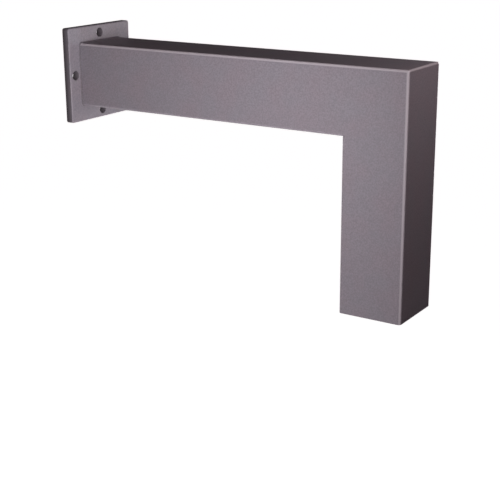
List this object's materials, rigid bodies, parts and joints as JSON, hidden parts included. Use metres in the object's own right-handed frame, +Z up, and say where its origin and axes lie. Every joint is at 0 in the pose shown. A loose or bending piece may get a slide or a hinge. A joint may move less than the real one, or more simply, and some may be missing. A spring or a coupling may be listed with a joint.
{
  "type": "mounting bracket",
  "caption": "Wall bracket of square steel tube: a screw plate, a level arm and a mitred leg whose open lower end takes a hanging post.",
  "frame": {"origin": "middle of the plate's wall face, on the axis of the arm", "axes": "+X out of the wall along the arm, +Z up, the leg hangs along -Z, +Y to the left of someone who faces the wall"},
  "size_m": [0.235, 0.06, 0.155],
  "materials": {
    "powder_coat": "fine textured powder coat, satin, warm grey"
  },
  "bodies": {
    "root": {"wall_plate": "powder_coat", "arm_tube": "powder_coat", "leg_tube": "powder_coat", "mitre_weld": "powder_coat", "foot_weld": "powder_coat"}
  },
  "joints": []
}
